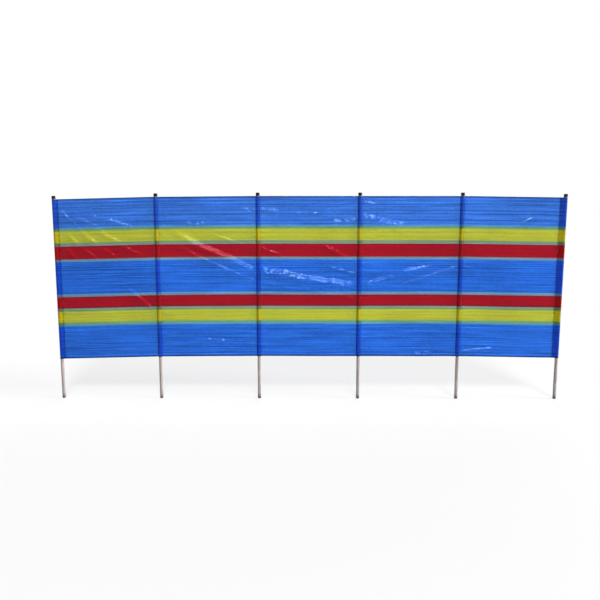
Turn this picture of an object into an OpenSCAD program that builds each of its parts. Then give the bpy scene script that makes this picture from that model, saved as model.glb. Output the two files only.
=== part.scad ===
// Striped beach windbreak: five bays of woven sheet carried on six wooden poles
// pushed into the ground, each pole in a sewn sleeve and under a plastic cap.
// The frame starts at ground level on the first pole's axis: +X runs along the
// windbreak, -Y faces the viewer and +Z is up.

/* [Windbreak] */
// Distance from one pole to the next
bay_w = 750; // [400:10:1200]
// Height of the striped sheet
sheet_h = 1200; // [1000:10:1500]
// Bare pole between the ground and the sheet
bare_pole = 330; // [100:5:600]
// How much deeper the first pole stands than the middle ones
first_drop = 24; // [0:1:60]
// How much deeper the last pole stands than the middle ones
last_drop = 10; // [0:1:60]

/* [Poles] */
// Diameter of a wooden pole
pole_d = 25; // [18:0.5:36]
// Chamfer around the top of a pole
pole_chamfer = 1.5; // [0.5:0.1:3]

/* [Pole caps] */
// Height of a cap
cap_h = 22; // [14:0.5:40]
// Thickness of a cap's side
cap_wall = 2; // [1.2:0.1:3.5]
// Thickness of a cap's top
cap_top = 4; // [2:0.1:6]
// How much narrower a cap is at the top than at its rim, on each side
cap_taper = 0.8; // [0:0.1:1.5]
// Rounding around the top of a cap
cap_round = 4; // [1:0.5:6]
// How far the rim at the foot of a cap stands out
cap_rim = 0.7; // [0.3:0.1:2]
// Height of that rim
cap_rim_h = 3; // [1.5:0.5:6]
// Gap between a cap and its pole
cap_clear = 0.2; // [0.1:0.05:0.5]
// Gap between the sheet and the cap above it
cap_gap = 3; // [1:0.5:20]

/* [Sleeves] */
// Thickness of one layer of the sheet
sheet_t = 1; // [0.6:0.1:2]
// Gap between a pole and its sleeve
sleeve_clear = 0.3; // [0.2:0.1:1.5]
// Gap from the cloth round a middle pole to the stitching of its sleeve
middle_ease = 1.2; // [0.5:0.1:30]
// Gap from the cloth round the first pole to the stitching of its sleeve
first_ease = 9.2; // [0.5:0.1:60]
// Gap from the cloth round the last pole to the stitching of its wider sleeve
last_ease = 20.2; // [0.5:0.1:60]
// Width of the stitched margin, where two layers lie flat together
margin_w = 8; // [4:0.5:20]

/* [Stripes] */
// Height of the blue band along the top edge
top_band = 211; // [100:1:400]
// Height of the blue band across the middle
middle_band = 238; // [100:1:400]
// Height of each yellow band
yellow_band = 91; // [40:1:180]
// Height of each red band
red_band = 90; // [40:1:180]
// Height of each thin teal line between two bands
teal_line = 24; // [6:1:60]

/* [Hidden] */
$fn = 96;
bays = 5;
poles = bays + 1;

blue = [0.16, 0.38, 0.80];
teal = [0.29, 0.56, 0.62];
yellow = [0.70, 0.70, 0.22];
red = [0.65, 0.11, 0.16];
wood = [0.72, 0.66, 0.61];
black = [0.09, 0.09, 0.10];

// The stripes from the top edge down; the lowest blue band takes what is left
upper_bands = top_band + middle_band + 2 * yellow_band + 2 * red_band + 6 * teal_line;
bottom_band = sheet_h - upper_bands;
stripe_colours = [blue, teal, yellow, teal, red, teal, blue, teal, red, teal, yellow, teal, blue];
stripe_heights = [
    top_band, teal_line, yellow_band, teal_line, red_band, teal_line, middle_band,
    teal_line, red_band, teal_line, yellow_band, teal_line, bottom_band
];
stripes = len(stripe_heights);
// Depth of each stripe's upper edge below the top of the sheet
stripe_depths = [
    for (k = 0, depth = 0; k <= stripes; depth = depth + (k < stripes ? stripe_heights[k] : 0), k = k + 1) depth
];

// The second pole stands a little deep too, between the first and the level ones
pole_drops = [first_drop, first_drop / 4, 0, 0, 0, last_drop];
sleeve_r = pole_d / 2 + sleeve_clear;
middle_seam = sleeve_r + sheet_t + middle_ease;
first_seam = sleeve_r + sheet_t + first_ease;
last_seam = sleeve_r + sheet_t + last_ease;
// The sheet runs off the pole at this share of the sleeve's radius, so that flat and round cross in a clear line
run_off = 0.98;
cap_bore_r = pole_d / 2 + cap_clear;
cap_r = cap_bore_r + cap_wall;

function pole_x(i) = (i - 1) * bay_w;
function sheet_bottom(i) = bare_pole - pole_drops[i - 1];
function sheet_top(i) = sheet_bottom(i) + sheet_h;
function cap_foot(i) = sheet_top(i) + cap_gap;
// Distance from the axis of pole i to the stitching of its sleeve
function seam_at(i) = i == 1 ? first_seam : i == poles ? last_seam : middle_seam;
// How far the sleeve of pole i reaches along the sheet, margin included
function sleeve_reach(i) = seam_at(i) + margin_w;
// Where the line from p touches a circle of radius r about the origin
function touch(r, p) = let (a = atan2(p.y, p.x) + acos(r / norm(p))) r * [cos(a), sin(a)];
function flip(p) = [p.x, -p.y];

// A round dowel, cut off where it enters the ground
module pole(i) {
    top = cap_foot(i) + cap_h - cap_top;
    color(wood)
        translate([pole_x(i), 0, 0]) {
            cylinder(d = pole_d, h = top - pole_chamfer);
            translate([0, 0, top - pole_chamfer])
                cylinder(d1 = pole_d, d2 = pole_d - 2 * pole_chamfer, h = pole_chamfer);
        }
}

// A moulded cup that is pushed over the end of the pole
module pole_cap(i) {
    color(black)
        translate([pole_x(i), 0, cap_foot(i)])
            rotate_extrude()
                difference() {
                    cap_side();
                    square([cap_bore_r, cap_h - cap_top]);
                }
}

// Half of a cap's outline, with its rim and its rounded top
module cap_side() {
    top_r = cap_r - cap_taper;
    polygon([
        [0, 0], [cap_r, 0], [top_r, cap_h - cap_round], [top_r - cap_round, cap_h], [0, cap_h]
    ]);
    translate([top_r - cap_round, cap_h - cap_round])
        circle(cap_round);
    square([cap_r + cap_rim, cap_rim_h]);
}

// One side of a sleeve's outside: a layer that leaves the pole straight for the
// stitching and then lies flat on the other layer
module outer_wing(seam) {
    corner = [seam, sheet_t];
    edge = [seam + margin_w, sheet_t];
    leave = touch(run_off * (sleeve_r + sheet_t), corner);
    polygon([edge, corner, leave, [0, 0], flip(leave), flip(corner), flip(edge)]);
}

// The same side of the hollow between the layers, which closes at the stitching
module inner_wing(seam) {
    leave = touch(run_off * sleeve_r, [seam, 0]);
    polygon([[seam, 0], leave, [0, 0], flip(leave)]);
}

// A middle sleeve is sewn along both sides of its pole
module middle_sleeve_plan() {
    difference() {
        union() {
            circle(sleeve_r + sheet_t);
            outer_wing(middle_seam);
            mirror([1, 0])
                outer_wing(middle_seam);
        }
        circle(sleeve_r);
        inner_wing(middle_seam);
        mirror([1, 0])
            inner_wing(middle_seam);
    }
}

// At an end the sheet wraps round the pole and is sewn back on itself
module end_sleeve_plan(seam) {
    difference() {
        union() {
            circle(sleeve_r + sheet_t);
            outer_wing(seam);
        }
        circle(sleeve_r);
        inner_wing(seam);
    }
}

// Plan of the sleeve of pole i, with the last one turned to face the sheet
module sleeve_plan(i) {
    if (i == 1)
        end_sleeve_plan(first_seam);
    else if (i == poles)
        mirror([1, 0])
            end_sleeve_plan(last_seam);
    else
        middle_sleeve_plan();
}

module pole_sleeve(i) {
    for (k = [0 : stripes - 1])
        color(stripe_colours[k])
            translate([pole_x(i), 0, sheet_top(i) - stripe_depths[k + 1]])
                linear_extrude(stripe_heights[k])
                    sleeve_plan(i);
}

// The sheet between two sleeves, sloped where their poles stand at different depths
module fabric_bay(i) {
    left = pole_x(i) + sleeve_reach(i);
    right = pole_x(i + 1) - sleeve_reach(i + 1);
    for (k = [0 : stripes - 1])
        color(stripe_colours[k])
            translate([0, sheet_t / 2, 0])
                rotate([90, 0, 0])
                    linear_extrude(sheet_t)
                        polygon([
                            [left, sheet_top(i) - stripe_depths[k]],
                            [right, sheet_top(i + 1) - stripe_depths[k]],
                            [right, sheet_top(i + 1) - stripe_depths[k + 1]],
                            [left, sheet_top(i) - stripe_depths[k + 1]]
                        ]);
}

for (i = [1 : poles]) {
    pole(i);
    pole_cap(i);
    pole_sleeve(i);
}
for (i = [1 : bays]) {
    fabric_bay(i);
}
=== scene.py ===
import math

import bpy
import numpy as np
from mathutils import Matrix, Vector, noise


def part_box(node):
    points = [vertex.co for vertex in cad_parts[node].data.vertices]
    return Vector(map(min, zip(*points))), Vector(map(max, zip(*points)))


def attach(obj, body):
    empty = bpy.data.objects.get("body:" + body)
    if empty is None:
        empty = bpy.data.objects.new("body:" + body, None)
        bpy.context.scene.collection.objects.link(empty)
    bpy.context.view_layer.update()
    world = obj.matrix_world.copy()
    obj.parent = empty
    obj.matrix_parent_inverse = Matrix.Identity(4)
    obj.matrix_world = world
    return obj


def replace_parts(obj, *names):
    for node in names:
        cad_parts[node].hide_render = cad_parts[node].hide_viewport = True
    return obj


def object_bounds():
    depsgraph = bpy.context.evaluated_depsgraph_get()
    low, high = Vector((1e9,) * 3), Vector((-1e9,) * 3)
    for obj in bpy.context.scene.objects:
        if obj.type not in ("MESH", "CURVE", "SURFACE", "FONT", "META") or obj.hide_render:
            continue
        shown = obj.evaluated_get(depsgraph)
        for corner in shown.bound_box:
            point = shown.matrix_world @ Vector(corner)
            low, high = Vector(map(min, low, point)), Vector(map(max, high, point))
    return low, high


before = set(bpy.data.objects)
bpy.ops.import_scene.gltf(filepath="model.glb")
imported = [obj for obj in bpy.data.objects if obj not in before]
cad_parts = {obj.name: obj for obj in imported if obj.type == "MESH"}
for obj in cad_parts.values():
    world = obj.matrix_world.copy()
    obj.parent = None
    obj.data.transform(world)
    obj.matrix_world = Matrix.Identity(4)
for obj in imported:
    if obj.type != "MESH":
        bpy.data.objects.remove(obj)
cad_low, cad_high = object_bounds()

# Cloth and its sewing, in metres
CLOTH_T = 0.0008
LAYER_GAP = 0.0011
SLEEVE_CLEAR = 0.0009
MARGIN_W = 0.008
TURNED_W = 0.0025

# Steps of the cloth's mesh in metres, and of how many rows a sleeve takes one
COLUMN_STEP = 0.0056
ROW_STEP = 0.0056
FLANK_STEP = 0.003
ROUND_STEP = 0.003
SLEEVE_ROWS = 2

# Sizes read from the frame, in metres
POLES = 6
BAYS = POLES - 1
pole_boxes = [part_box(f"pole_{i + 1}") for i in range(POLES)]
sleeve_boxes = [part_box(f"pole_sleeve_{i + 1}") for i in range(POLES)]
POLE_X = [(low.x + high.x) / 2 for low, high in pole_boxes]
POLE_R = (pole_boxes[0][1].x - pole_boxes[0][0].x) / 2
SLEEVE_R = POLE_R + SLEEVE_CLEAR
SHEET_BOTTOM = [low.z for low, high in sleeve_boxes]
SHEET_H = sleeve_boxes[0][1].z - sleeve_boxes[0][0].z
# Distance from each pole's axis to the stitching of its sleeve
SEAM = [max(high.x - x, x - low.x) - MARGIN_W for x, (low, high) in zip(POLE_X, sleeve_boxes)]
# Width of the margin beyond it, wider where the sheet is turned round an end pole
MARGINS = [MARGIN_W if i in (0, POLES - 1) else TURNED_W for i in range(POLES)]

# Stripes from the top edge down: dye at their upper side, dye at their lower side, and height in metres.
# The last one takes what is left.
STRIPES = [
    ("faded_blue", "faded_blue", 0.211), ("cyan", "green", 0.025),
    ("yellow", "yellow", 0.087), ("green", "grey", 0.027),
    ("red", "red", 0.093), ("grey", "cyan", 0.023),
    ("blue", "blue", 0.241), ("cyan", "grey", 0.024),
    ("red", "red", 0.080), ("grey", "green", 0.027),
    ("yellow", "yellow", 0.085), ("green", "cyan", 0.030),
    ("blue", "blue", None),
]
# How far two dyes blend on either side of a stripe's edge, in metres
STRIPE_BLUR = 0.003
YELLOW_BLUR = 0.006
# Colour of each dye as it sends light back, and as it lets light through
DYES = {
    "blue": ((0.005, 0.050, 0.450, 1), (0.20, 0.49, 0.84, 1)),
    "faded_blue": ((0.006, 0.056, 0.430, 1), (0.28, 0.54, 0.86, 1)),
    "cyan": ((0.030, 0.160, 0.300, 1), (0.41, 0.70, 0.88, 1)),
    "green": ((0.050, 0.150, 0.050, 1), (0.47, 0.70, 0.53, 1)),
    "grey": ((0.150, 0.120, 0.140, 1), (0.63, 0.59, 0.64, 1)),
    "yellow": ((0.520, 0.380, 0.001, 1), (0.47, 0.685, 0.31, 1)),
    "red": ((0.370, 0.002, 0.004, 1), (0.49, 0.11, 0.18, 1)),
    "red_edge": ((0.030, 0.004, 0.006, 1), (0.20, 0.05, 0.10, 1)),
}

# Camera, from the places of the poles and of the sheet's edges in the picture
PICTURE_PX = 600
FOCAL_PX = 690
SENSOR_MM = 36
CAMERA_AT = (1.847, -5.107, 1.551)
CAMERA_DOWN = math.radians(8.81)
CAMERA_LEFT = math.radians(0.42)

camera = bpy.data.objects.new("camera", bpy.data.cameras.new("camera"))
camera.data.sensor_width = SENSOR_MM
camera.data.lens = SENSOR_MM * FOCAL_PX / PICTURE_PX
camera.location = CAMERA_AT
camera.rotation_euler = (math.pi / 2 - CAMERA_DOWN, 0, CAMERA_LEFT)
bpy.context.scene.collection.objects.link(camera)
bpy.context.scene.camera = camera


# Materials

def add(tree, kind, inputs=None, **settings):
    """A shader node with its settings, and its inputs linked or set."""
    made = tree.nodes.new("ShaderNode" + kind)
    for name, value in settings.items():
        setattr(made, name, value)
    for name, value in (inputs or {}).items():
        socket = made.inputs[name]
        if isinstance(value, bpy.types.NodeSocket):
            tree.links.new(value, socket)
        else:
            socket.default_value = value
    return made


def calc(tree, operation, *values):
    """The result of one Math node."""
    return add(tree, "Math", dict(enumerate(values)), operation=operation).outputs[0]


def vector(tree, x, y, z=0.0):
    """A vector put together from three values."""
    return add(tree, "CombineXYZ", {0: x, 1: y, 2: z}).outputs[0]


def stretched(tree, values, scales):
    """A vector put together from values, each times its scale."""
    return vector(tree, *(calc(tree, "MULTIPLY", value, scale) for value, scale in zip(values, scales)))


def noise_of(tree, place, scale=1.0, detail=2.0, roughness=0.5, distortion=0.0):
    """Factor of a noise texture."""
    return add(tree, "TexNoise", {
        "Vector": place, "Scale": scale, "Detail": detail, "Roughness": roughness, "Distortion": distortion,
    }).outputs["Fac"]


def about_zero(tree, factor, width):
    """A noise factor as a value about zero."""
    return calc(tree, "MULTIPLY", calc(tree, "SUBTRACT", factor, 0.5), width)


def between(tree, low, high, factor):
    """A value that goes from low to high with the factor."""
    return calc(tree, "MULTIPLY_ADD", factor, high - low, low)


def mapped(tree, value, span, results):
    """A value's way over a span, laid onto that between two results."""
    return add(tree, "MapRange", {
        "Value": value, 1: span[0], 2: span[1], 3: results[0], 4: results[1],
    }).outputs[0]


def scaled(tree, colour, factor):
    """A colour times a factor."""
    return add(tree, "VectorMath", {0: colour, "Scale": factor}, operation="SCALE").outputs[0]


def tinted(tree, factor, dark, pale, span=(0.0, 1.0)):
    """A colour that goes from dark to pale over a span of the factor."""
    ramp = add(tree, "ValToRGB", {"Fac": factor})
    for stop, at, colour in zip(ramp.color_ramp.elements, span, (dark, pale)):
        stop.position = at
        stop.color = colour
    return ramp.outputs["Color"]


def mixed(tree, factor, first, second):
    """Two colours mixed by a factor."""
    return add(tree, "Mix", {0: factor, "A": first, "B": second}, data_type="RGBA").outputs["Result"]


def bump(tree, height, distance, strength=1.0):
    """The normal of a bumped surface."""
    return add(tree, "Bump", {"Strength": strength, "Distance": distance, "Height": height}).outputs["Normal"]


def new_material(name):
    """An empty node material, with its tree and its output."""
    material = bpy.data.materials.new(name)
    material.use_nodes = True
    tree = material.node_tree
    tree.nodes.clear()
    return material, tree, add(tree, "OutputMaterial")


def striped(tree, level, side):
    """Colour of the stripes at a share of the sheet's height, for light sent back (0) or let through (1)."""
    ramp = add(tree, "ValToRGB", {"Fac": level})
    stops = ramp.color_ramp.elements
    stops[0].color = DYES[STRIPES[-1][1]][side]
    stops[1].color = DYES[STRIPES[0][0]][side]
    at = SHEET_H
    for (_, above, height), (below, _, _) in zip(STRIPES, STRIPES[1:]):
        at -= height
        blur = YELLOW_BLUR if "yellow" in (above, below) else STRIPE_BLUR
        stops.new((at + blur) / SHEET_H).color = DYES[above][side]
        if "red" in (above, below):
            stops.new(at / SHEET_H).color = DYES["red_edge"][side]
        stops.new((at - blur) / SHEET_H).color = DYES[below][side]
    return ramp.outputs["Color"]


# Fabric: lengths in metres, scales of noise in cells a metre (upwards in the drift, a tape), and tones as
# factors on the dyes
STRIPE_RAGGED = 0.004
RAGGED_SCALE = (90, 15)
STREAK_W = 0.0060
STREAK_TONE = 0.42
STREAK_MEAN = 0.15
LEAST_CONTRAST = 0.25
DRIFT_SCALE = (2.6, 5.7)
DRIFT_TONE = 1.3
FLECK_L = 0.009
FLECK_TONE = 0.2
FADE_SCALE = 2.2
FADE_TONES = (0.85, 1.15)
# Painted shade of the hem: within this span of the top and bottom edges the cloth is painted darker, down to
# this tone
HEM_SHADE_SPAN = (0.005, 0.011)
HEM_SHADE_TONE = 0.5
FIRST_END_SPAN = (0.1, 1.5)
FIRST_END_TONE = 0.90
TAPE_W = 0.005
WEAVE_SHARE = 0.03
CRINKLE_SCALE = 90
CRINKLE_DISTORTION = 0.8
CRINKLE_H = 0.0006
FABRIC_ROUGHNESS = (0.10, 0.30)
FABRIC_SPECULAR = 0.46
SHEEN_GAMMA = 0.6
SHARE_THROUGH = 0.5


def fabric_tone(tree, along, up, dye):
    """Factor on the dyes: streaks along the tapes, strongest in blue, with faded areas, painted hem shade
    along the top and bottom edges, and darker towards the first end.
    """
    each_tape = calc(tree, "FLOOR", calc(tree, "DIVIDE", up, STREAK_W))
    this_tape, next_tape = (
        add(tree, "TexWhiteNoise", {"W": tape}, noise_dimensions="1D").outputs["Value"]
        for tape in (each_tape, calc(tree, "ADD", each_tape, 1.0))
    )
    drift = about_zero(tree, noise_of(tree, stretched(tree, (along, each_tape), DRIFT_SCALE)), DRIFT_TONE)
    crossing = vector(tree, calc(tree, "FLOOR", calc(tree, "DIVIDE", along, FLECK_L)), each_tape)
    fleck = add(tree, "TexWhiteNoise", {"Vector": crossing}, noise_dimensions="2D").outputs["Value"]
    streaks = calc(tree, "MULTIPLY_ADD", calc(tree, "SUBTRACT", this_tape, next_tape), STREAK_TONE, drift)
    streaks = calc(tree, "MULTIPLY_ADD", fleck, FLECK_TONE, streaks)
    contrast = calc(tree, "ADD", add(tree, "SeparateColor", {0: dye}).outputs["Blue"], LEAST_CONTRAST)
    streaks = calc(tree, "MULTIPLY", calc(tree, "SUBTRACT", streaks, STREAK_MEAN), contrast)
    fade = between(tree, *FADE_TONES, noise_of(tree, vector(tree, along, up), scale=FADE_SCALE, detail=3))
    from_edge = calc(tree, "MINIMUM", up, calc(tree, "SUBTRACT", SHEET_H, up))
    # Painted shade of the hem along the top and bottom edges
    painted_hem_shade = mapped(tree, from_edge, HEM_SHADE_SPAN, (HEM_SHADE_TONE, 1.0))
    first_end = mapped(tree, along, FIRST_END_SPAN, (FIRST_END_TONE, 1.0))
    edges = calc(tree, "MULTIPLY", painted_hem_shade, first_end)
    return calc(tree, "MULTIPLY", calc(tree, "ADD", streaks, fade), edges)


def fabric_material():
    """Woven plastic tape: dyed stripes, fine streaks along the cloth, weave and crinkles."""
    material, tree, output = new_material("striped_fabric")
    place = add(tree, "SeparateXYZ", {0: add(tree, "UVMap", uv_map="cloth").outputs["UV"]})
    along, up = place.outputs["X"], place.outputs["Y"]

    ragged = about_zero(tree, noise_of(tree, stretched(tree, (along, up), RAGGED_SCALE)), STRIPE_RAGGED)
    level = calc(tree, "DIVIDE", calc(tree, "ADD", up, ragged), SHEET_H)
    sent_back, let_through = striped(tree, level, 0), striped(tree, level, 1)
    tone = fabric_tone(tree, along, up, sent_back)

    threads = (calc(tree, "SINE", calc(tree, "MULTIPLY", way, 2 * math.pi / TAPE_W)) for way in (along, up))
    weave = calc(tree, "MULTIPLY", *threads)
    crinkle = noise_of(tree, vector(tree, along, up), scale=CRINKLE_SCALE, distortion=CRINKLE_DISTORTION)
    height = calc(tree, "MULTIPLY_ADD", weave, WEAVE_SHARE, crinkle)

    surface = add(tree, "BsdfPrincipled", {
        "Base Color": scaled(tree, sent_back, tone),
        "Roughness": between(tree, *FABRIC_ROUGHNESS, crinkle),
        "Normal": bump(tree, height, CRINKLE_H),
        "Specular IOR Level": FABRIC_SPECULAR,
        "Specular Tint": add(tree, "Gamma", {"Color": let_through, "Gamma": SHEEN_GAMMA}).outputs["Color"],
    })
    through = add(tree, "BsdfTranslucent", {"Color": scaled(tree, let_through, tone)})
    both = add(tree, "MixShader", {0: SHARE_THROUGH, 1: surface.outputs[0], 2: through.outputs[0]})
    tree.links.new(both.outputs[0], output.inputs["Surface"])
    return material


# Wood: scales of noise in cells a metre, lengths in metres
GRAIN_SCALE = (420, 420, 9)
GRAIN_SPAN = (0.30, 0.62)
GRAIN_H = 0.0006
GRAIN_BUMP = 0.5
WOOD_DARK = (0.104, 0.091, 0.087, 1)
WOOD_PALE = (0.355, 0.312, 0.295, 1)
PATCH_SCALE = 14
PATCH_TONES = (0.75, 1.25)
# Painted light: where the sleeves cover it, the wood is painted this many times paler than the bare wood, so
# that the sleeves show lighter over it. The change runs over this height above the sheet's lower edge
SLEEVE_LIGHT_OVER = 0.02
SLEEVE_LIGHT_TONE = 1.9
# Darker towards the foot: its colour, the heights between which it starts (by the patch noise), the height
# where it is full, and its share
FOOT_DARK = (0.03, 0.025, 0.022, 1)
FOOT_DARK_REACH = (0.008, 0.078)
FOOT_DARK_FULL = 0.006
FOOT_DARK_SHARE = 0.9
WOOD_ROUGHNESS = (0.58, 0.83)
WOOD_SPECULAR = 0.3


def wood_material():
    """Softwood dowel with grain along the pole, darker at its foot, and painted light: paler where the sleeve
    covers it.
    """
    material, tree, output = new_material("pole_wood")
    where = add(tree, "TexCoord").outputs["Object"]
    place = add(tree, "SeparateXYZ", {0: where}).outputs
    grain = noise_of(tree, stretched(tree, place, GRAIN_SCALE), detail=4, roughness=0.6, distortion=0.4)
    patches = noise_of(tree, where, scale=PATCH_SCALE, detail=3)
    cover = max(SHEET_BOTTOM)
    # Painted light: paler wood inside the sleeves
    painted_sleeve_light = mapped(tree, place["Z"], (cover, cover + SLEEVE_LIGHT_OVER), (1.0, SLEEVE_LIGHT_TONE))
    tone = calc(tree, "MULTIPLY", between(tree, *PATCH_TONES, patches), painted_sleeve_light)
    colour = scaled(tree, tinted(tree, grain, WOOD_DARK, WOOD_PALE, GRAIN_SPAN), tone)
    # Darker towards the foot
    foot_dark = mapped(tree, place["Z"], (between(tree, *FOOT_DARK_REACH, patches), FOOT_DARK_FULL), (0.0, FOOT_DARK_SHARE))
    surface = add(tree, "BsdfPrincipled", {
        "Base Color": mixed(tree, foot_dark, colour, FOOT_DARK),
        "Roughness": between(tree, *WOOD_ROUGHNESS, grain),
        "Normal": bump(tree, grain, GRAIN_H, GRAIN_BUMP),
        "Specular IOR Level": WOOD_SPECULAR,
    })
    tree.links.new(surface.outputs[0], output.inputs["Surface"])
    return material


# Caps and thread: scales of noise in cells a metre, lengths in metres
SPECKLE_SCALE = 900
SPECKLE_H = 0.0003
SPECKLE_BUMP = 0.25
SMEAR_SCALE = 130
CAP_BLACK = (0.003, 0.003, 0.004, 1)
CAP_DUST = (0.09, 0.085, 0.08, 1)
DUST_SHARE = 0.2
CAP_ROUGHNESS = (0.35, 0.65)
CAP_SPECULAR = 0.12
TWIST_SCALE = 1500
TWIST_H = 0.0003
TWIST_BUMP = 0.4
THREAD_DARK = (0.07, 0.12, 0.26, 1)
THREAD_PALE = (0.16, 0.26, 0.48, 1)
THREAD_ROUGHNESS = (0.5, 0.7)


def cap_material():
    """Black moulded plastic, a little dusty on top."""
    material, tree, output = new_material("cap_plastic")
    where = add(tree, "TexCoord").outputs["Object"]
    speckle = noise_of(tree, where, scale=SPECKLE_SCALE)
    smears = noise_of(tree, where, scale=SMEAR_SCALE, detail=4, roughness=0.7)
    facing = add(tree, "SeparateXYZ", {0: add(tree, "NewGeometry").outputs["Normal"]}).outputs["Z"]
    dusty = calc(tree, "MULTIPLY", calc(tree, "MAXIMUM", facing, 0.0), smears)
    surface = add(tree, "BsdfPrincipled", {
        "Base Color": mixed(tree, calc(tree, "MULTIPLY", dusty, DUST_SHARE), CAP_BLACK, CAP_DUST),
        "Roughness": between(tree, *CAP_ROUGHNESS, smears),
        "Normal": bump(tree, speckle, SPECKLE_H, SPECKLE_BUMP),
        "Specular IOR Level": CAP_SPECULAR,
    })
    tree.links.new(surface.outputs[0], output.inputs["Surface"])
    return material


def thread_material():
    """Blue sewing thread with its twist."""
    material, tree, output = new_material("thread")
    twist = noise_of(tree, add(tree, "TexCoord").outputs["Object"], scale=TWIST_SCALE)
    surface = add(tree, "BsdfPrincipled", {
        "Base Color": tinted(tree, twist, THREAD_DARK, THREAD_PALE),
        "Roughness": between(tree, *THREAD_ROUGHNESS, twist),
        "Normal": bump(tree, twist, TWIST_H, TWIST_BUMP),
    })
    tree.links.new(surface.outputs[0], output.inputs["Surface"])
    return material


FABRIC = fabric_material()
WOOD = wood_material()
PLASTIC = cap_material()
THREAD = thread_material()


# Plan of the cloth: its vertical lines seen from above, as points with normals about a pole's axis

# How far the cloth has turned flat where it meets the stitching, and how it bows on its way there
FLATTEN = 0.8
FLANK_BOW = 0.35


def spread(start, end, step):
    """Evenly spaced values from start up to but without end."""
    count = max(2, round(abs(end - start) / step))
    return [start + (end - start) * k / count for k in range(count)]


def lean(seam):
    """Angle on the pole at which cloth sewn at this distance leaves it."""
    return math.acos(SLEEVE_R / seam)


def flank(seam):
    """In front on the +X side, from the pole out to just before the stitching, where the cloth flattens."""
    angle = lean(seam)
    start = (SLEEVE_R * math.cos(angle), -SLEEVE_R * math.sin(angle))
    reach = math.hypot(seam - start[0], start[1])
    found = []
    for t in spread(0.0, 1.0, FLANK_STEP / reach):
        turn = angle + (math.pi / 2 - angle) * FLATTEN * t * t
        dip = 1 - t + FLATTEN * FLANK_BOW * t * t * (t - 1)
        point = (start[0] + (seam - start[0]) * t, start[1] * dip)
        found.append((point, (math.cos(turn), -math.sin(turn))))
    return found


def round_pole(start, end):
    """Round the pole between two angles, where -90 degrees is in front."""
    return [
        ((SLEEVE_R * math.cos(a), SLEEVE_R * math.sin(a)), (math.cos(a), math.sin(a)))
        for a in spread(start, end, ROUND_STEP / SLEEVE_R)
    ]


def mirrored(points):
    """The same points on the other side of the pole, in the other order."""
    return [((-p[0], p[1]), (-n[0], n[1])) for p, n in reversed(points)]


def behind(points):
    """The same points behind the sheet, in the other order."""
    return [((p[0], LAYER_GAP - p[1]), (n[0], -n[1])) for p, n in reversed(points)]


def front_bulge(seam):
    """Across the front of a middle pole, between its two lines of stitching."""
    right = flank(seam)
    return mirrored(right[1:]) + round_pole(lean(seam) - math.pi, -lean(seam)) + right


def back_bulge(seam):
    """Across the back of a middle pole, with a flat margin on either side."""
    margin = [((seam + TURNED_W * t, LAYER_GAP), (0, 1)) for t in (1.0, 0.5, 0.0)]
    return margin + behind(front_bulge(seam)) + mirrored(margin)


def end_wrap(seam):
    """At the left end: from the margin behind the sheet, round the pole, to before the stitching in front."""
    margin = [((seam + MARGIN_W * t, LAYER_GAP), (0, 1)) for t in (1.0, 0.5, 0.0)]
    front = flank(seam)
    back = [((p[0], LAYER_GAP * p[0] / seam - p[1]), (n[0], -n[1])) for p, n in reversed(front[1:])]
    return margin + back + round_pole(lean(seam), 2 * math.pi - lean(seam)) + front


class Station:
    """One vertical line of the cloth: its place in plan, its normal, and its pole, or its bay and share."""

    def __init__(self, at, normal, pole=None, bay=None, share=0.0):
        self.at = at
        self.normal = normal
        self.pole = pole
        self.bay = bay
        self.share = share

    def bottom(self):
        """Height of the sheet's lower edge on this line."""
        if self.bay is None:
            return SHEET_BOTTOM[self.pole]
        left, right = SHEET_BOTTOM[self.bay], SHEET_BOTTOM[self.bay + 1]
        return left + (right - left) * self.share


def bay_stations(bay):
    """The lines of one bay, from stitching to stitching."""
    left = POLE_X[bay] + SEAM[bay]
    right = POLE_X[bay + 1] - SEAM[bay + 1]
    first, last = left + MARGINS[bay], right - MARGINS[bay + 1]
    places = spread(left, first, MARGIN_W) + spread(first, last, COLUMN_STEP)
    places += spread(last, right, MARGIN_W) + [right]
    return [Station((x, 0.0), (0, -1), bay=bay, share=(x - left) / (right - left)) for x in places]


def pole_stations(i, plan):
    """The lines of the cloth at pole i, from plan points about its axis."""
    return [Station((POLE_X[i] + p[0], p[1]), n, pole=i) for p, n in plan]


def sheet_stations():
    """All lines of the sheet from left to right, with the first and last line of each bay."""
    found = pole_stations(0, end_wrap(SEAM[0]))
    cuts = []
    for bay in range(BAYS):
        start = len(found)
        found += bay_stations(bay)
        cuts.append((start, len(found) - 1))
        if bay < BAYS - 1:
            found += pole_stations(bay + 1, front_bulge(SEAM[bay + 1]))
    return found + pole_stations(POLES - 1, mirrored(end_wrap(SEAM[-1]))), cuts


# Creases in the sheet

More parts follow.
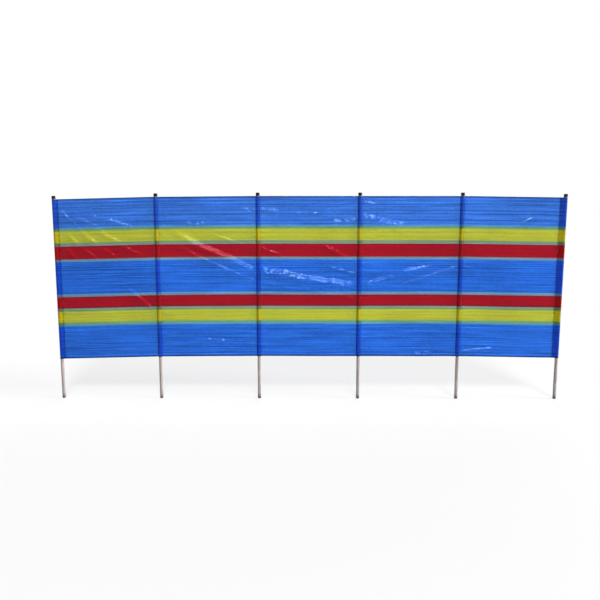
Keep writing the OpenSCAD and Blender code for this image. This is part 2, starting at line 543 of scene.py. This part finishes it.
# Drag folds by bay: points as (share of the bay, height on the sheet), width and slope of the upper flank
FOLDS = [
    (0, [(0.04, 1.120), (0.21, 1.003), (0.30, 0.930)], 0.021, 0.42),
    (0, [(0.07, 1.115), (0.40, 1.003), (0.52, 0.950)], 0.024, 0.43),
    (0, [(0.06, 1.128), (0.53, 1.047), (0.78, 0.988), (0.94, 0.960)], 0.027, 0.42),
    (0, [(0.10, 0.950), (0.24, 0.850)], 0.022, 0.33),
    (0, [(0.24, 0.960), (0.44, 0.858)], 0.022, 0.33),
    (0, [(0.42, 0.965), (0.69, 0.862)], 0.022, 0.33),
    (0, [(0.62, 0.868), (0.92, 0.759)], 0.022, 0.33),
    (0, [(0.08, 0.862), (0.19, 0.745)], 0.018, 0.36),
    (0, [(0.22, 0.860), (0.43, 0.745)], 0.018, 0.34),
    (0, [(0.42, 0.860), (0.64, 0.745)], 0.018, 0.31),
    (0, [(0.64, 0.582), (0.97, 0.370)], 0.022, 0.45),
    (1, [(0.10, 0.985), (0.42, 0.848), (0.72, 0.759), (0.99, 0.655)], 0.040, 0.46),
    (1, [(0.055, 0.912), (0.19, 0.851), (0.42, 0.759), (0.74, 0.655), (0.99, 0.580)], 0.026, 0.38),
    (1, [(0.04, 1.105), (0.60, 1.142)], 0.030, 0.30),
    (1, [(0.49, 0.944), (0.94, 0.833)], 0.016, 0.38),
    (1, [(0.16, 1.012), (0.60, 1.004)], 0.020, 0.36),
    (1, [(0.80, 1.118), (0.99, 1.105)], 0.026, 0.38),
    (1, [(0.30, 0.132), (0.50, 0.132), (0.78, 0.120)], 0.020, 0.46),
    (2, [(0.01, 0.660), (0.25, 0.638), (0.51, 0.600), (0.75, 0.576), (0.99, 0.545)], 0.050, 0.42),
    (2, [(0.02, 0.565), (0.51, 0.505), (0.99, 0.453)], 0.016, 0.38),
    (2, [(0.01, 1.110), (0.20, 1.100)], 0.030, 0.38),
    (2, [(0.60, 0.870), (0.89, 0.760), (0.99, 0.715)], 0.022, 0.42),
    (2, [(0.63, 0.700), (0.99, 0.633)], 0.016, 0.38),
    (2, [(0.84, 0.618), (0.99, 0.596)], 0.014, 0.36),
    (2, [(0.01, 0.826), (0.27, 0.760)], 0.016, 0.38),
    (2, [(0.66, 1.018), (0.98, 1.030)], 0.024, 0.39),
    (3, [(0.01, 1.168), (0.18, 1.140)], 0.018, 0.40),
    (3, [(0.01, 1.066), (0.37, 1.003), (0.54, 0.981)], 0.036, 0.44),
    (3, [(0.03, 0.562), (0.33, 0.611), (0.44, 0.656), (0.68, 0.686), (0.88, 0.708)], 0.032, 0.43),
    (3, [(0.27, 0.528), (0.54, 0.581), (0.72, 0.626), (0.99, 0.686)], 0.024, 0.43),
    (3, [(0.76, 0.217), (0.94, 0.125)], 0.016, 0.36),
    (3, [(0.50, 0.030), (0.82, 0.034)], 0.020, 0.47),
    (4, [(0.01, 0.695), (0.20, 0.641)], 0.016, 0.43),
    (4, [(0.08, 0.750), (0.25, 0.820), (0.40, 0.857)], 0.016, 0.28),
    (4, [(0.55, 1.000), (0.76, 1.066)], 0.020, 0.34),
    (4, [(0.03, 0.048), (0.45, 0.080)], 0.018, 0.42),
]
# Patches of fine puckers by bay: points as above, half their width and how high they stand
PUCKERS = [
    (0, [(0.85, 0.610), (0.98, 0.580)], 0.030, 0.0022),
    (1, [(0.18, 1.010), (0.58, 1.005)], 0.025, 0.0042),
    (1, [(0.88, 1.110), (0.99, 1.100)], 0.035, 0.0036),
    (1, [(0.72, 0.610), (0.98, 0.570)], 0.025, 0.0020),
    (1, [(0.44, 0.130), (0.72, 0.122)], 0.018, 0.0046),
    (2, [(0.01, 1.105), (0.15, 1.090), (0.95, 1.080)], 0.028, 0.0040),
    (2, [(0.72, 1.018), (0.97, 1.018)], 0.022, 0.0034),
    (2, [(0.05, 0.655), (0.28, 0.635), (0.55, 0.597), (0.80, 0.568), (0.98, 0.543)], 0.036, 0.0018),
    (2, [(0.70, 0.690), (0.98, 0.640)], 0.022, 0.0018),
    (3, [(0.01, 1.075), (0.15, 1.045), (0.38, 1.005)], 0.030, 0.0030),
    (3, [(0.02, 0.960), (0.45, 0.930)], 0.040, 0.0014),
    (3, [(0.88, 1.110), (0.98, 1.085)], 0.025, 0.0034),
    (3, [(0.55, 0.022), (0.78, 0.024)], 0.018, 0.0050),
]
# How far the middle of each bay stands out, to the front where positive, and how much of a half wave it
# makes over the sheet's height
BILLOW = (0.004, -0.005, 0.005, -0.004, 0.003)
BILLOW_SPAN = 0.8
# A fold's section, in widths: rounding of its flank, its tail below the crest, and the dip on either side
CREST_AT = 0.5
CREST_ROUND = 0.05
TAIL_REACH = 1.6
TAIL_POWER = 1.5
DIP_DEPTH = 0.3
DIP_AT = 0.2
DIP_REACH = 3.5
# Lines that end this close to a seam, as a share of the bay, fade over less of their length than the others
AT_SEAM = 0.05
SEAM_FADE = 0.03
LOOSE_FADE = 0.35
TRACK_POINTS = 60
# Smooth noise: height (in metres, or as a factor), seed, and its cells along and up in metres
WAVES = (0.0035, 3.1, 0.30, 0.42)
SEAM_PUCKERS = (0.0045, 9.7, 0.07, 0.018)
RIPPLES = (0.0010, 21.3, 0.16, 0.045)
SLANTED_RIPPLES = (0.0013, 33.9, 0.05, 0.022)
SLEEVE_RIPPLES = (0.0010, 47.0, 0.05, 0.024)
FOLD_UNEVEN = (0.25, 57.1, 0.022, 0.022)
FINE_PUCKERS = (1.5, 71.3, 0.030, 0.014)
SLANT = 0.5
# Distances in metres: where the cloth comes loose from a seam, and how far the seam's puckers reach
LOOSE_AFTER = 0.022
PUCKERS_FROM = 0.006
PUCKERS_REACH = 0.045
# In a sleeve: where the cloth is free of the pole, in radii, and of the stitching, in metres
FREE_OF_POLE = 1.2
FREE_OF_SEAM = 0.005


def smooth(low, high, value):
    """0 below low, 1 above high and eased between."""
    t = np.clip((value - low) / (high - low), 0, 1)
    return t * t * (3 - 2 * t)


def crest(offset, width):
    """Section of a fold: an even slope above its crest, drawn out below, with a shallow dip all round."""
    r = offset / width + CREST_AT
    above = np.clip(r, 0, 1)
    below = np.maximum(-r, 0)
    slope = 1 - above + CREST_ROUND * np.sin(2 * math.pi * above)
    dip = DIP_DEPTH * np.exp(-((r - DIP_AT) / DIP_REACH) ** 2)
    return slope * np.exp(-(below / TAIL_REACH) ** TAIL_POWER) - dip


def beside(x, z, route):
    """How far points (x, z) lie above a route in the same units, and their share of its length."""
    route = np.array(route)
    ends = np.cumsum([0, *np.linalg.norm(np.diff(route, axis=0), axis=1)])
    steps = np.linspace(0, ends[-1], TRACK_POINTS)
    track = np.stack([np.interp(steps, ends, route[:, k]) for k in (0, 1)], 1)
    run = np.gradient(track, axis=0)
    best = np.full(x.shape, np.inf)
    offset = np.zeros(x.shape)
    where = np.zeros(x.shape)
    for k in range(len(track)):
        dx, dz = x - track[k, 0], z - track[k, 1]
        d = np.hypot(dx, dz)
        near = d < best
        above = np.where(run[k, 0] * dz - run[k, 1] * dx > 0, 1, -1)
        best[near] = d[near]
        offset[near] = (d * above)[near]
        where[near] = k / (len(track) - 1)
    return offset, where


def noise_grid(x, z, seed, x_step, z_step):
    """Smooth noise from -1 to 1 at points (x, z), with cells of the given steps."""
    values = [noise.noise(Vector((a / x_step, b / z_step, seed))) for a, b in zip(x.ravel(), z.ravel())]
    return np.array(values).reshape(x.shape)


def rippled(kind, index, x, z):
    """One kind of smooth noise on the bay or sleeve of this index."""
    height, seed, x_step, z_step = kind
    return height * noise_grid(x, z, seed + index, x_step, z_step)


def lines_in(table, bay, x, z):
    """For each line of a bay: how far points lie above it, how far it has faded there, its width and rise."""
    left, right = x.min(), x.max()
    for line_bay, route, width, rise in table:
        if line_bay == bay:
            starts = SEAM_FADE if route[0][0] < AT_SEAM else LOOSE_FADE
            stops = SEAM_FADE if route[-1][0] > 1 - AT_SEAM else LOOSE_FADE
            offset, where = beside(x, z, [(left + s * (right - left), h) for s, h in route])
            yield offset, smooth(0, starts, where) * smooth(0, stops, 1 - where), width, rise


def bay_creases(bay, x, z, share):
    """How far one bay stands out at points (x, z)."""
    from_seam = np.minimum(x - x.min(), x.max() - x)
    loose = smooth(0.0, LOOSE_AFTER, from_seam)
    bulge = 4 * share * (1 - share)
    lift = BILLOW[bay] * bulge * np.cos((z / SHEET_H - 0.5) * math.pi * BILLOW_SPAN)
    lift += bulge * rippled(WAVES, bay, x, z)
    uneven = 1 + rippled(FOLD_UNEVEN, bay, x, z)
    for offset, fade, width, slope in lines_in(FOLDS, bay, x, z):
        lift += loose * fade * slope * width * crest(offset, width) * uneven
    puckers = rippled(FINE_PUCKERS, bay, x, z)
    for offset, fade, width, height in lines_in(PUCKERS, bay, x, z):
        lift += loose * fade * height * np.exp(-(offset / width) ** 2) * puckers
    sewn = np.exp(-from_seam / PUCKERS_REACH) * smooth(0, PUCKERS_FROM, from_seam)
    lift += sewn * rippled(SEAM_PUCKERS, bay, x, z)
    lift += loose * rippled(RIPPLES, bay, x, z)
    lift += loose * rippled(SLANTED_RIPPLES, bay, x + z, z - x * SLANT)
    return lift


def creases(lines, heights):
    """How far the sheet stands out along its normals, for each row of heights and each line."""
    share = np.array([s.share for s in lines])
    bays = np.array([-1 if s.bay is None else s.bay for s in lines])
    x, z = np.meshgrid([s.at[0] for s in lines], heights)
    out = np.zeros(x.shape)
    for bay in sorted(set(bays[bays >= 0])):
        cols = np.where(bays == bay)[0]
        out[:, cols] = bay_creases(bay, x[:, cols], z[:, cols], share[cols])
    for k in np.where(bays < 0)[0]:
        pole = lines[k].pole
        from_pole = math.hypot(lines[k].at[0] - POLE_X[pole], lines[k].at[1])
        free = smooth(SLEEVE_R, SLEEVE_R * FREE_OF_POLE, from_pole)
        free *= smooth(0.0, FREE_OF_SEAM, SEAM[pole] - from_pole)
        out[:, k] = free * rippled(SLEEVE_RIPPLES, pole, x[:, k], z[:, k])
    return out


def cloth_points(lines):
    """Points of the cloth's middle surface by row and line, with their places on the flat cloth."""
    rows = SLEEVE_ROWS * round(SHEET_H / ROW_STEP / SLEEVE_ROWS) + 1
    heights = np.linspace(0, SHEET_H, rows)
    at = np.array([s.at for s in lines])
    normal = np.array([s.normal for s in lines], float)
    bottom = np.array([s.bottom() for s in lines])
    points = np.zeros((rows, len(lines), 3))
    points[:, :, :2] = at + creases(lines, heights)[:, :, None] * normal
    points[:, :, 2] = bottom + heights[:, None]
    flat = np.zeros((rows, len(lines), 2))
    flat[:, :, 0] = np.concatenate([[0], np.cumsum(np.linalg.norm(np.diff(at, axis=0), axis=1))])
    flat[:, :, 1] = heights[:, None]
    return points, flat


# Meshes

def finished(name, mesh, material, flat_faces=0):
    """A mesh as a piece that rides on the body, smooth but for its last few faces."""
    mesh.materials.append(material)
    count = len(mesh.polygons)
    mesh.polygons.foreach_set("use_smooth", [k < count - flat_faces for k in range(count)])
    mesh.update()
    made = bpy.data.objects.new(name, mesh)
    bpy.context.scene.collection.objects.link(made)
    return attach(made, "root")


def grid_normals(points):
    """Unit normals of a grid of points, to the front where lines run to the right and rows go up."""
    normal = np.cross(np.gradient(points, axis=1), np.gradient(points, axis=0))
    return normal / np.linalg.norm(normal, axis=2, keepdims=True)


def cloth_piece(name, points, normal, flat):
    """A closed thin mesh over a grid of points, with the flat cloth's places as its UV map."""
    rows, cols = points.shape[:2]
    verts = np.concatenate([(points + normal * side * CLOTH_T / 2).reshape(-1, 3) for side in (1, -1)])
    index = np.arange(rows * cols).reshape(rows, cols)
    a, b = index[:-1, :-1].ravel(), index[:-1, 1:].ravel()
    d, c = index[1:, :-1].ravel(), index[1:, 1:].ravel()
    front = np.stack([a, b, c, d], 1)
    back = np.stack([a, d, c, b], 1) + rows * cols
    ring = np.concatenate([index[0, :-1], index[:-1, -1], index[-1, :0:-1], index[:0:-1, 0]])
    after = np.roll(ring, -1)
    rim = np.stack([after, ring, ring + rows * cols, after + rows * cols], 1)
    mesh = bpy.data.meshes.new(name)
    mesh.from_pydata(verts.tolist(), [], np.concatenate([front, back, rim]).tolist())
    corners = np.zeros(len(mesh.loops), np.int32)
    mesh.loops.foreach_get("vertex_index", corners)
    places = np.concatenate([flat.reshape(-1, 2)] * 2)
    mesh.uv_layers.new(name="cloth").data.foreach_set("uv", places[corners].ravel())
    made = finished(name, mesh, FABRIC, flat_faces=len(rim))
    return made


lines, cuts = sheet_stations()
points, flat = cloth_points(lines)
normals = grid_normals(points)


def cut_piece(name, start, end, replaced, rows=1):
    """The part of the sheet between two of its lines, with every row or only some."""
    part = (slice(None, None, rows), slice(start, end + 1))
    made = cloth_piece(name, points[part], normals[part], flat[part])
    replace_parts(made, replaced)


for bay, (start, end) in enumerate(cuts):
    cut_piece(f"sheet_bay_{bay + 1}", start, end, f"fabric_bay_{bay + 1}")
for i in range(POLES):
    start = cuts[i - 1][1] if i else 0
    end = cuts[i][0] if i < BAYS else len(lines) - 1
    kind = "end_sleeve" if i in (0, POLES - 1) else "sleeve_front"
    cut_piece(f"{kind}_{i + 1}", start, end, f"pole_sleeve_{i + 1}", SLEEVE_ROWS)
for i in range(1, POLES - 1):
    strip_lines = pole_stations(i, back_bulge(SEAM[i]))
    strip, strip_flat = (part[::SLEEVE_ROWS] for part in cloth_points(strip_lines))
    back = cloth_piece(f"sleeve_back_{i + 1}", strip, grid_normals(strip), strip_flat)
    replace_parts(back, f"pole_sleeve_{i + 1}")


# Poles

# Lengths in metres; the unevenness is smooth noise, with its scale round the pole, its cells a metre along it
# and its shift from one pole to the next
POLE_SIDES = 40
POLE_RING = 0.024
END_WEAR = 0.0015
POLE_UNEVEN = 0.00022
UNEVEN_ROUND = 1.3
UNEVEN_ALONG = 11
UNEVEN_SHIFT = 7.0


def pole_object(i):
    """A dowel that is slightly uneven along its length and worn round at its ends."""
    top = pole_boxes[i][1].z
    rings = [0.0, END_WEAR] + spread(2 * END_WEAR, top - 2 * END_WEAR, POLE_RING) + [top - END_WEAR, top]
    verts, faces = [], []
    for z in rings:
        worn = max(END_WEAR - min(z, top - z), 0)
        for k in range(POLE_SIDES):
            a = 2 * math.pi * k / POLE_SIDES
            c, s = math.cos(a), math.sin(a)
            spot = Vector((c * UNEVEN_ROUND + i * UNEVEN_SHIFT, s * UNEVEN_ROUND, z * UNEVEN_ALONG))
            r = POLE_R - worn + POLE_UNEVEN * (noise.noise(spot) - 1)
            verts.append((POLE_X[i] + r * c, r * s, z))
    for j in range(len(rings) - 1):
        for k in range(POLE_SIDES):
            a, b = j * POLE_SIDES + k, j * POLE_SIDES + (k + 1) % POLE_SIDES
            faces.append((a, b, b + POLE_SIDES, a + POLE_SIDES))
    faces.append(tuple(range(POLE_SIDES))[::-1])
    faces.append(tuple(range(len(verts) - POLE_SIDES, len(verts))))
    mesh = bpy.data.meshes.new(f"wooden_pole_{i + 1}")
    mesh.from_pydata(verts, [], faces)
    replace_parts(finished(mesh.name, mesh, WOOD, flat_faces=2), f"pole_{i + 1}")


for i in range(POLES):
    pole_object(i)

# Caps keep their own shape and get a finished material
for i in range(POLES):
    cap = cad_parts[f"pole_cap_{i + 1}"]
    cap.data.materials.clear()
    cap.data.materials.append(PLASTIC)


# Stitching along the sleeves

# Lengths in metres, and shares of a pitch, of a stitch's length or of its thickness
STITCH_PITCH = 0.0062
STITCH_L = 0.0042
STITCH_D = 0.0007
STITCH_SIDES = 5
STITCH_START = 0.2
STITCH_SPOTS = (0.0, 0.25, 0.75, 1.0)
STITCH_SINK = 0.2
STITCH_LIFT = 0.3


def stitch_row(track, normal, verts, faces):
    """Stitches along a track of points, standing out along its normals."""
    lengths = np.concatenate([[0], np.cumsum(np.linalg.norm(np.diff(track, axis=0), axis=1))])
    for k in range(int(lengths[-1] / STITCH_PITCH)):
        start = (k + STITCH_START) * STITCH_PITCH
        spots = [start + STITCH_L * t for t in STITCH_SPOTS]
        at = [np.array([np.interp(q, lengths, track[:, a]) for a in range(3)]) for q in spots]
        out = np.array([np.interp(start, lengths, normal[:, a]) for a in range(3)])
        run = (at[3] - at[0]) / np.linalg.norm(at[3] - at[0])
        side = np.cross(run, out)
        base = len(verts)
        verts.append(tuple(at[0] - out * STITCH_D * STITCH_SINK))
        for p in at[1:3]:
            for j in range(STITCH_SIDES):
                a = 2 * math.pi * j / STITCH_SIDES
                bow = out * (STITCH_LIFT + math.cos(a) / 2) + side * math.sin(a) / 2
                verts.append(tuple(p + bow * STITCH_D))
        verts.append(tuple(at[3] - out * STITCH_D * STITCH_SINK))
        last = base + 2 * STITCH_SIDES + 1
        for j in range(STITCH_SIDES):
            p, q = base + 1 + j, base + 1 + (j + 1) % STITCH_SIDES
            faces.append((base, q, p))
            faces.append((p, q, q + STITCH_SIDES, p + STITCH_SIDES))
            faces.append((last, p + STITCH_SIDES, q + STITCH_SIDES))


def stitching(name, columns):
    """The seams of one pole, in front of the sheet and behind it."""
    verts, faces = [], []
    for column in columns:
        track = points[:, column]
        stitch_row(track + normals[:, column] * CLOTH_T / 2, normals[:, column], verts, faces)
        back = np.array([0.0, LAYER_GAP + CLOTH_T / 2, 0.0])
        stitch_row(track + back, np.tile([0.0, 1.0, 0.0], (len(track), 1)), verts, faces)
    mesh = bpy.data.meshes.new(name)
    mesh.from_pydata(verts, [], faces)
    finished(name, mesh, THREAD)


for i in range(POLES):
    sewn = ([cuts[i - 1][1] - 1] if i else []) + ([cuts[i][0] + 1] if i < BAYS else [])
    stitching(f"sleeve_stitching_{i + 1}", sewn)


# Floor and light

# Half the floor's side in metres, its colour, and how brightly it and the sky show
FLOOR_HALF = 200
FLOOR_TONE = 0.22
FLOOR_GLOW = 0.63
SKY = 0.30
# Lights: the side they come from, their strength, and their softness in degrees
LIGHTS = {
    "key": ((0.95, -0.12, 0.28), 6.4, 25),
    "front": ((0.14, -0.74, 0.65), 2.6, 15),
    "back": ((0.30, 0.94, 0.16), 3.7, 50),
    "fill": ((-0.90, -0.35, 0.26), 0.8, 90),
}


def seen_directly(tree):
    """1 for rays that show the surroundings themselves: to the camera, in gloss and through clear things."""
    path = add(tree, "LightPath")
    seen = calc(tree, "MAXIMUM", path.outputs["Is Camera Ray"], path.outputs["Is Glossy Ray"])
    return calc(tree, "MAXIMUM", seen, path.outputs["Is Transmission Ray"])


def make_floor():
    """A wide pale floor that keeps the shadow."""
    x, y = (cad_low.x + cad_high.x) / 2, (cad_low.y + cad_high.y) / 2
    mesh = bpy.data.meshes.new("floor")
    corners = [(x + FLOOR_HALF * a, y + FLOOR_HALF * b, 0) for a, b in ((-1, -1), (1, -1), (1, 1), (-1, 1))]
    mesh.from_pydata(corners, [], [(0, 1, 2, 3)])
    material, tree, output = new_material("floor")
    matt = add(tree, "BsdfDiffuse", {"Color": (FLOOR_TONE, FLOOR_TONE, FLOOR_TONE, 1)})
    glow = add(tree, "Emission", {
        "Color": (1, 1, 1, 1), "Strength": calc(tree, "MULTIPLY", seen_directly(tree), FLOOR_GLOW)})
    both = add(tree, "AddShader", {0: matt.outputs[0], 1: glow.outputs[0]})
    tree.links.new(both.outputs[0], output.inputs["Surface"])
    mesh.materials.append(material)
    floor = bpy.data.objects.new("floor", mesh)
    bpy.context.scene.collection.objects.link(floor)


def make_world():
    """Even light from all round, with a white background where it is seen."""
    world = bpy.data.worlds.new("studio")
    bpy.context.scene.world = world
    world.use_nodes = True
    tree = world.node_tree
    tree.nodes.clear()
    fill = add(tree, "Background", {"Color": (1, 1, 1, 1), "Strength": SKY})
    white = add(tree, "Background", {"Color": (1, 1, 1, 1), "Strength": 1.0})
    both = add(tree, "MixShader", {0: seen_directly(tree), 1: fill.outputs[0], 2: white.outputs[0]})
    tree.links.new(both.outputs[0], add(tree, "OutputWorld").inputs["Surface"])


def make_sun(name, source, strength, softness):
    """A soft far light from one side."""
    lamp = bpy.data.lights.new(name, "SUN")
    lamp.energy = strength
    lamp.angle = math.radians(softness)
    sun = bpy.data.objects.new(name, lamp)
    sun.rotation_mode = "QUATERNION"
    sun.rotation_quaternion = Vector(source).normalized().to_track_quat("Z", "Y")
    bpy.context.scene.collection.objects.link(sun)


make_floor()
make_world()
for name, light in LIGHTS.items():
    make_sun(name, *light)
bpy.context.scene.view_settings.view_transform = "Standard"
